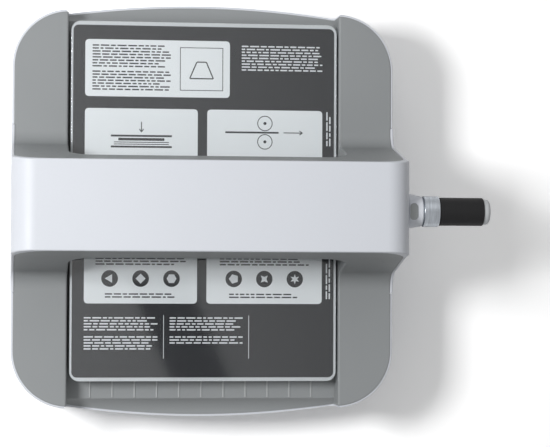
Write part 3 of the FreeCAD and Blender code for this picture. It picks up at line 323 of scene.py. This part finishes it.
FINISHES = {
    "white_plastic": moulded_plastic(
        "satin white plastic", (0.69, 0.715, 0.765), spread=0.015, rough=(0.46, 0.58),
        grain=700.0, depth=0.01),
    "grey_plastic": moulded_plastic(
        "matt grey plastic", (0.275, 0.289, 0.296), spread=0.05, rough=(0.5, 0.62),
        grain=1700.0, depth=0.04),
    "dark_grey_plastic": moulded_plastic(
        "dark grey plastic", (0.36, 0.375, 0.375), spread=0.06, rough=(0.5, 0.6), grain=1500.0, depth=0.04),
    "rubber": moulded_plastic(
        "foot rubber", (0.032, 0.032, 0.034), spread=0.25, rough=(0.75, 0.9), grain=1100.0, depth=0.06),
    "plated_steel": plain_metal(
        "zinc plated sheet", (0.58, 0.59, 0.62), spread=0.12, rough=(0.3, 0.5), grain=420.0, depth=0.01),
    "screw_steel": plain_metal(
        "zinc plated screws", (0.55, 0.56, 0.6), spread=0.1, rough=(0.22, 0.4), grain=900.0, depth=0.01),
    "roller_steel": turned_metal(
        "ground roller steel", (0.6, 0.61, 0.63), spread=0.1, rough=(0.2, 0.32), depth=0.006),
    "spring_steel": plain_metal(
        "oiled spring steel", (0.2, 0.2, 0.22), spread=0.15, rough=(0.3, 0.45), grain=900.0, depth=0.01),
    "gear_steel": plain_metal(
        "sintered gear steel", (0.36, 0.36, 0.38), spread=0.2, rough=(0.35, 0.55), grain=1800.0, depth=0.03),
    "bush_bronze": plain_metal(
        "sintered bronze", (0.55, 0.37, 0.17), spread=0.2, rough=(0.35, 0.5), grain=1800.0, depth=0.03),
    "brushed_aluminium": turned_metal(
        "brushed aluminium", (0.405, 0.432, 0.467), spread=0.4, rough=(0.28, 0.42), depth=0.02,
        Lines=4200.0),
    "black_grip": moulded_plastic(
        "black grip rubber", (0.02, 0.02, 0.021), spread=0.2, rough=(0.55, 0.7), grain=1300.0, depth=0.05,
        Specular_IOR_Level=0.15),
    "pale_cap": moulded_plastic(
        "pale cap plastic", (0.53, 0.55, 0.565), spread=0.04, rough=(0.4, 0.5), grain=1200.0, depth=0.02),
    "platform_plastic": moulded_plastic(
        "platform plastic", (0.6, 0.62, 0.635), spread=0.03, rough=(0.45, 0.55), grain=1200.0, depth=0.02),
    "clear_pad": clear_sheet("clear pad plastic"),
}
DARK_PRINT = printed("dark grey print", (0.03, 0.031, 0.0345), spread=0.05)
PALE_PRINT = printed("pale grey print", (0.86, 0.885, 0.9), spread=0.03)
WHITE_PRINT = printed("white print", (0.78, 0.8, 0.82), spread=0.03)
FINISHES["label_print"] = DARK_PRINT
# Painted highlight on the deck's rib tops, together with the wear of the sliding platform
paint_rib_highlight_and_wear(FINISHES["grey_plastic"], RIB_TOPS, RIB_HIGHLIGHT_AND_WEAR_GREY)


def dress_nodes():
    """Put each node's finish on it."""
    for part in frame["record"]["subparts"]:
        node = bpy.data.objects[part["node"]]
        node.data.materials.clear()
        node.data.materials.append(FINISHES[part["material_slot"]])


# Printed label, laid out in millimetres from its front left corner
LABEL_LOW, LABEL_HIGH = (Vector(corner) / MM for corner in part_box("platform_label"))
LABEL_WIDE, LABEL_DEEP = (LABEL_HIGH - LABEL_LOW).to_2d()
SHEET_CORNER = 4.6
SHEET_STEPS = 8
SHEET_THICK = 0.25
INK_THICK = 0.04
ON_SHEET = SHEET_THICK
ON_PALE = ON_SHEET + INK_THICK
ON_DARK = ON_PALE + INK_THICK
SAME_PLACE = 1e-6

# Pale panels: left, front, right, back
MARGIN = 10.0
PANEL_CORNER = 3.0
PANEL_STEPS = 4
INFO_PANEL = (MARGIN, 236.0, 132.0, 284.0)
LEFT_PANEL = (MARGIN, 62.0, 105.0, 226.0)
RIGHT_PANEL = (113.0, 62.0, LABEL_WIDE - MARGIN, 226.0)
LEFT_MIDDLE = (LEFT_PANEL[0] + LEFT_PANEL[2]) / 2
RIGHT_MIDDLE = (RIGHT_PANEL[0] + RIGHT_PANEL[2]) / 2

# The bar that all lines and words are copied from
BAR_LONG = 2.0
BAR_WIDE = 1.0
BAR_CORNER = 0.3
BAR_STEPS = 2
STROKE = 0.8
THIN_STROKE = 0.6

# Words, in blocks of left, right, top and number of lines
WORD_TALL = 1.15
WORD_LONG = (2.6, 8.5)
WORD_GAP = 1.1
LINE_PITCH = 2.5
RAGGED = 0.16
SIDE_EDGE = LABEL_WIDE - 3.5
NOTES = (
    (142.0, LABEL_WIDE - MARGIN, 280.0, 9),
    (MARGIN, 72.0, 50.0, 5),
    (MARGIN, 72.0, 34.0, 5),
    (82.0, 144.0, 50.0, 5),
    (82.0, 144.0, 34.0, 3),
)
SIDE_NOTES = ((196.0, 226.0, SIDE_EDGE, 2), (66.0, 100.0, SIDE_EDGE, 2))
INFO_NOTES = ((16.0, 82.0, 279.0, 8), (16.0, 82.0, 257.0, 7))
words = random.Random(11)

# Upright rules between the notes, and the framed shape in the info panel
RULES = (77.0, 149.0)
RULE_ENDS = (16.0, 52.0)
RULE_WIDE = 0.5
INFO_FRAME = [(90, 242), (126, 242), (126, 278), (90, 278)]
INFO_SHAPE = [(98, 252), (118, 252), (112, 266), (104, 266)]
SHAPE_STROKE = 1.0

# Sheets laid on each other, as length and thickness, and the arrow's start and end above them
STACK_DEEP = 192.0
STACK = ((52, 1.6), (46, 0.7), (46, 0.7), (40, 2.2), (52, 1.6))
STACK_GAP = 1.0
PRESS_ARROW = (11.0, 2.5)
ARROW_HEAD = 3.0
ARROW_SPREAD = 0.6

# Two rollers, with the sheet and the arrow between them as start and end from the middle
ROLLERS_DEEP = 207.0
ROLLER_RADIUS = 6.2
ROLLER_SIDES = 20
ROLLER_STROKE = 0.7
ROLLER_GAP = 1.6
HUB_RADIUS = 1.3
HUB_SIDES = 16
FEED_SHEET = (-34.0, 12.0)
FEED_THICK = 1.5
FEED_ARROW = (16.0, 32.0)

# Rows of discs with a shape in each, as points and inner radius, and captions as half width, top and lines
ROW_DEEP = 83.0
ROW_STEPS = (-26, 0, 26)
DISC_RADIUS = 7.0
DISC_SIDES = 32
ICON_RADIUS = 4.2
LEFT_ICONS = ((3, 1.0), (4, 1.0), (6, 1.0))
RIGHT_ICONS = ((5, 1.0), (8, 0.45), (12, 0.45))
CAPTIONS = ((38.0, 100.0, 3), (30.0, 70.0, 2))


def label_place(across, deep, height):
    """Metres from millimetres on the label."""
    return (LABEL_LOW + Vector((across, deep, height))) * MM


def edit(piece):
    """Open one piece alone in edit mode."""
    bpy.ops.object.select_all(action="DESELECT")
    piece.select_set(True)
    bpy.context.view_layer.objects.active = piece
    bpy.ops.object.mode_set(mode="EDIT")


def done():
    """Leave edit mode."""
    bpy.ops.object.mode_set(mode="OBJECT")


def flat_box(middle, size, corner, steps):
    """A flat box with its upright edges rounded."""
    bpy.ops.mesh.primitive_cube_add(size=1, location=middle, scale=size)
    piece = bpy.context.object
    bpy.ops.object.transform_apply(location=True, rotation=True, scale=True)
    edit(piece)
    bpy.ops.mesh.select_mode(type="EDGE")
    bpy.ops.mesh.select_all(action="DESELECT")
    for edge in bmesh.from_edit_mesh(piece.data).edges:
        start, end = (vert.co for vert in edge.verts)
        if (start - end).to_2d().length < SAME_PLACE:
            edge.select_set(True)
    bpy.ops.mesh.bevel(offset=corner * MM, segments=steps, affect="EDGES")
    done()
    return piece


def tile(box, low, thick, corner, steps):
    """A flat printed area with rounded corners."""
    left, front, right, back = box
    middle = label_place((left + right) / 2, (front + back) / 2, low + thick / 2)
    size = Vector((right - left, back - front, thick)) * MM
    return flat_box(middle, size, corner, steps)


def flat_shape(sides, radius, across, deep, low, turn=0.0, inner=1.0):
    """A flat printed polygon or disc. Every second point lies at inner times the radius."""
    bpy.ops.mesh.primitive_circle_add(
        vertices=sides, radius=radius * MM, fill_type="NGON",
        location=label_place(across, deep, low), rotation=(0, 0, turn))
    piece = bpy.context.object
    bpy.ops.object.transform_apply(location=False, rotation=True, scale=True)
    for vert in list(piece.data.vertices)[::2]:
        vert.co *= inner
    bpy.ops.object.transform_apply(location=True, rotation=False, scale=False)
    edit(piece)
    bpy.ops.mesh.select_all(action="SELECT")
    bpy.ops.mesh.extrude_region_move(TRANSFORM_OT_translate={"value": (0, 0, INK_THICK * MM)})
    bpy.ops.mesh.select_all(action="SELECT")
    bpy.ops.mesh.normals_make_consistent(inside=False)
    done()
    return piece


def ink_bar():
    """One short bar of ink with rounded corners, which every stroke is stretched from."""
    size = Vector((BAR_LONG, BAR_WIDE, INK_THICK)) * MM
    return flat_box((0, 0, 0), size, BAR_CORNER, BAR_STEPS)


def stroke(master, start, end, low, wide=STROKE):
    """A copy of the bar from one place to another, in a width of its own."""
    first = Vector((*start, 0))
    reach = Vector((*end, 0)) - first
    stretch = (reach.length - BAR_WIDE - wide) / 2
    mesh = master.data.copy()
    for vert in mesh.vertices:
        side = 1 if vert.co.x > 0 else -1
        vert.co.x += side * stretch * MM
        vert.co.y *= wide / BAR_WIDE
    middle = first + reach / 2
    mesh.transform(Matrix.Rotation(math.atan2(reach.y, reach.x), 4, "Z"))
    mesh.transform(Matrix.Translation(label_place(middle.x, middle.y, low + INK_THICK / 2)))
    piece = bpy.data.objects.new("bar", mesh)
    bpy.context.collection.objects.link(piece)
    return piece


def text_lines(master, block, low, upright=False):
    """Lines of words shown as plain bars, ragged at the right."""
    left, right, top, count = block
    bars = []
    for line in range(count):
        level = top - line * LINE_PITCH
        end = right - words.uniform(0.0, RAGGED) * (right - left)
        at = left
        while at < end:
            length = min(words.uniform(*WORD_LONG), right - at)
            if length > 2 * WORD_TALL:
                ends = [(at, level), (at + length, level)]
                if upright:
                    ends = [(deep, across) for across, deep in ends]
                bars.append(stroke(master, *ends, low, WORD_TALL))
            at += length + WORD_GAP
    return bars


def outline(master, points, low, wide):
    """A closed line through the points."""
    return [stroke(master, a, b, low, wide) for a, b in zip(points, points[1:] + points[:1])]


def arrow(master, start, end, low):
    """A line with an open head at its end."""
    tip = Vector(end)
    back = (Vector(start) - tip).normalized() * ARROW_HEAD
    barbs = [tip + Matrix.Rotation(turn, 2) @ back for turn in (ARROW_SPREAD, -ARROW_SPREAD)]
    return [stroke(master, start, end, low)] + [stroke(master, end, tuple(barb), low) for barb in barbs]


def layered_sheets(master, middle, low):
    """Side view of sheets laid on each other, with an arrow pressing down on them."""
    bars = []
    level = STACK_DEEP
    for long, thick in STACK:
        level += thick / 2 + STACK_GAP
        bars.append(stroke(master, (middle - long / 2, level), (middle + long / 2, level), low, thick))
        level += thick / 2
    start, end = ((middle, level + over) for over in PRESS_ARROW)
    bars += arrow(master, start, end, low)
    return bars


def roller_pair(master, middle, low):
    """Side view of two rollers with a sheet running between them."""
    turns = [math.tau * step / ROLLER_SIDES for step in range(ROLLER_SIDES)]
    bars = []
    for side in (-1, 1):
        deep = ROLLERS_DEEP + side * (ROLLER_RADIUS + ROLLER_GAP)
        ring = [(middle + ROLLER_RADIUS * math.cos(turn), deep + ROLLER_RADIUS * math.sin(turn))
                for turn in turns]
        bars += outline(master, ring, low, ROLLER_STROKE)
        bars.append(flat_shape(HUB_SIDES, HUB_RADIUS, middle, deep, low))
    start, end = ((middle + step, ROLLERS_DEEP) for step in FEED_SHEET)
    bars.append(stroke(master, start, end, low, FEED_THICK))
    start, end = ((middle + step, ROLLERS_DEEP) for step in FEED_ARROW)
    bars += arrow(master, start, end, low)
    return bars


def label_piece(piece, material):
    """Put a print on the platform."""
    piece.data.materials.clear()
    piece.data.materials.append(material)
    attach(piece, "platform")


def join_ink(name, bars, material):
    """One piece of all the bars of one ink on one level."""
    bpy.ops.object.select_all(action="DESELECT")
    for bar in bars:
        bar.select_set(True)
    piece = bars[0]
    bpy.context.view_layer.objects.active = piece
    bpy.ops.object.join()
    piece.name = name
    label_piece(piece, material)


def white_print(master):
    """Notes and rules on the dark sheet."""
    bars = []
    for block in NOTES:
        bars += text_lines(master, block, ON_SHEET)
    for across in RULES:
        start, end = ((across, deep) for deep in RULE_ENDS)
        bars.append(stroke(master, start, end, ON_SHEET, RULE_WIDE))
    for block in SIDE_NOTES:
        bars += text_lines(master, block, ON_SHEET, upright=True)
    return bars


def dark_print(master):
    """Notes, pictures, captions and discs on the pale panels."""
    bars = []
    for block in INFO_NOTES:
        bars += text_lines(master, block, ON_PALE)
    bars += outline(master, INFO_FRAME, ON_PALE, THIN_STROKE)
    bars += outline(master, INFO_SHAPE, ON_PALE, SHAPE_STROKE)
    bars += layered_sheets(master, LEFT_MIDDLE, ON_PALE)
    bars += roller_pair(master, RIGHT_MIDDLE, ON_PALE)
    for middle in (LEFT_MIDDLE, RIGHT_MIDDLE):
        for half, top, count in CAPTIONS:
            bars += text_lines(master, (middle - half, middle + half, top, count), ON_PALE)
        bars += [flat_shape(DISC_SIDES, DISC_RADIUS, middle + step, ROW_DEEP, ON_PALE) for step in ROW_STEPS]
    return bars


def disc_icons():
    """A plain shape on each disc."""
    icons = []
    for middle, shapes in ((LEFT_MIDDLE, LEFT_ICONS), (RIGHT_MIDDLE, RIGHT_ICONS)):
        for step, (points, inner) in zip(ROW_STEPS, shapes):
            icons.append(
                flat_shape(points, ICON_RADIUS, middle + step, ROW_DEEP, ON_DARK, math.pi / 2, inner))
    return icons


def make_label():
    """The printed sheet under the clear pad."""
    sheet = tile((0, 0, LABEL_WIDE, LABEL_DEEP), 0.0, SHEET_THICK, SHEET_CORNER, SHEET_STEPS)
    sheet.name = "label_sheet"
    label_piece(sheet, DARK_PRINT)
    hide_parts("platform_label")
    master = ink_bar()
    panels = [tile(box, ON_SHEET, INK_THICK, PANEL_CORNER, PANEL_STEPS)
              for box in (INFO_PANEL, LEFT_PANEL, RIGHT_PANEL)]
    join_ink("label_pale_panels", panels, PALE_PRINT)
    join_ink("label_white_print", white_print(master), WHITE_PRINT)
    join_ink("label_dark_print", dark_print(master), DARK_PRINT)
    join_ink("label_icons", disc_icons(), WHITE_PRINT)
    bpy.data.objects.remove(master)


# Floor and light. The _SEEN values are what the camera sees of the floor and the sky
FLOOR_HALF = 4.0
FLOOR_DROP = 0.0003
FLOOR_WHITE = 0.86
FLOOR_SEEN = 1.42
LAMP_AIM = Vector((0, 0, 0.08))
SKY = 0.66
SKY_STEEP = 2.0
SKY_SEEN = 0.75

# What the clear pad mirrors from straight above
STRAIGHT_UP = 0.975
SKY_ACROSS = (0.03, 0.15)
SKY_FADE = (0.95, 0.55)
UPRIGHT_X = 0.068
UPRIGHT_LEAN = 0.43
UPRIGHT_EDGE = (0.012, 0.016)
UPRIGHT_TONE = 0.1
UPRIGHT_TOP = (-0.004, 0.004)


def seen_rays(tree):
    """1 for what the camera sees straight on, in a reflection or through the clear pad."""
    path = add_node(tree, "ShaderNodeLightPath")
    seen = maths(tree, "MAXIMUM", (path, "Is Camera Ray"), (path, "Is Glossy Ray"))
    return maths(tree, "MAXIMUM", (seen, 0), (path, "Is Transmission Ray"))


def make_floor():
    """A white floor that keeps the shadow."""
    bpy.ops.mesh.primitive_plane_add(size=2 * FLOOR_HALF, location=(0, 0, -FLOOR_DROP))
    floor = bpy.context.object
    floor.name = "floor"
    material, tree, shader = new_finish("floor white")
    tree.nodes.remove(shader)
    matt = add_node(tree, "ShaderNodeBsdfDiffuse")
    lift = maths(tree, "MULTIPLY", (seen_rays(tree), 0), FLOOR_SEEN - FLOOR_WHITE)
    white = maths(tree, "ADD", (lift, 0), FLOOR_WHITE)
    join(tree, (white, 0), (matt, "Color"))
    join(tree, (matt, "BSDF"), (tree.nodes["Material Output"], "Surface"))
    floor.data.materials.append(material)


def make_lamp(name, azimuth, elevation, distance, size, power):
    """A square soft lamp aimed at the middle of the machine. Azimuth counts from +X towards +Y."""
    turn, rise = math.radians(azimuth), math.radians(elevation)
    out = Vector((math.cos(rise) * math.cos(turn), math.cos(rise) * math.sin(turn), math.sin(rise)))
    data = bpy.data.lights.new(name, "AREA")
    data.size = size
    data.energy = power
    lamp = bpy.data.objects.new(name, data)
    lamp.location = LAMP_AIM + out * distance
    lamp.rotation_euler = out.to_track_quat("Z", "Y").to_euler()
    bpy.context.collection.objects.link(lamp)


def mirrored_sky(tree, parts):
    """White that fades to the right, with a dark leaning upright in it."""
    fade = ramped(tree, (parts, "X"), *SKY_ACROSS, *SKY_FADE)
    lean = maths(tree, "MULTIPLY", (parts, "Y"), UPRIGHT_LEAN)
    along = maths(tree, "ADD", (parts, "X"), (lean, 0))
    offset = maths(tree, "SUBTRACT", (along, 0), UPRIGHT_X)
    away = maths(tree, "ABSOLUTE", (offset, 0))
    beside = ramped(tree, (away, 0), *UPRIGHT_EDGE, UPRIGHT_TONE, 1.0)
    beyond = ramped(tree, (parts, "Y"), *UPRIGHT_TOP)
    clear = maths(tree, "MAXIMUM", (beside, "Result"), (beyond, "Result"))
    return maths(tree, "MULTIPLY", (fade, "Result"), (clear, 0))


def make_world():
    """Light from overhead, and a white for what is seen in a reflection."""
    world = bpy.data.worlds.new("studio")
    bpy.context.scene.world = world
    world.use_nodes = True
    tree = world.node_tree
    sky = tree.nodes["Background"]
    sky.inputs["Color"].default_value = (1.0, 1.0, 1.0, 1.0)
    parts = split(tree, (add_node(tree, "ShaderNodeTexCoord"), "Generated"))
    height = maths(tree, "MAXIMUM", (parts, "Z"), 0.0)
    steep = maths(tree, "POWER", (height, 0), SKY_STEEP)
    overhead = maths(tree, "MULTIPLY", (steep, 0), SKY)
    upward = maths(tree, "GREATER_THAN", (parts, "Z"), STRAIGHT_UP)
    reflected = add_node(tree, "ShaderNodeMix", A=SKY_SEEN)
    join(tree, (upward, 0), (reflected, "Factor"))
    join(tree, (mirrored_sky(tree, parts), 0), (reflected, "B"))
    mix = add_node(tree, "ShaderNodeMix")
    join(tree, (seen_rays(tree), 0), (mix, "Factor"))
    join(tree, (overhead, 0), (mix, "A"))
    join(tree, (reflected, "Result"), (mix, "B"))
    join(tree, (mix, "Result"), (sky, "Strength"))


# Camera
PHOTO_WIDE = 550
FOCAL_PIXELS = 2127.2
SENSOR = 36.0
CAMERA_AT = Vector((-160.4, -59.9, 1876.0)) * MM
CAMERA_AIM = Vector((61.0, -11.2, 84.0)) * MM
CAMERA_ROLL = 0.004


def make_camera():
    """The camera above the machine, with +Y up in the picture apart from its roll."""
    data = bpy.data.cameras.new("camera")
    data.sensor_fit = "HORIZONTAL"
    data.sensor_width = SENSOR
    data.lens = FOCAL_PIXELS / PHOTO_WIDE * SENSOR
    camera = bpy.data.objects.new("camera", data)
    forward = (CAMERA_AIM - CAMERA_AT).normalized()
    right = forward.cross(Vector((0, 1, 0))).normalized()
    up = right.cross(forward)
    turned_right = right * math.cos(CAMERA_ROLL) + up * math.sin(CAMERA_ROLL)
    turned_up = up * math.cos(CAMERA_ROLL) - right * math.sin(CAMERA_ROLL)
    axes = Matrix((turned_right, turned_up, -forward)).transposed()
    camera.matrix_world = Matrix.Translation(CAMERA_AT) @ axes.to_4x4()
    bpy.context.collection.objects.link(camera)
    bpy.context.scene.camera = camera


dress_nodes()
make_label()
make_floor()
make_lamp("key lamp", azimuth=170, elevation=54.5, distance=1.38, size=0.33, power=12.6)
make_lamp("back lamp", azimuth=95, elevation=50, distance=1.9, size=1.4, power=3.8)
make_world()
make_camera()
bpy.context.scene.view_settings.view_transform = "Standard"
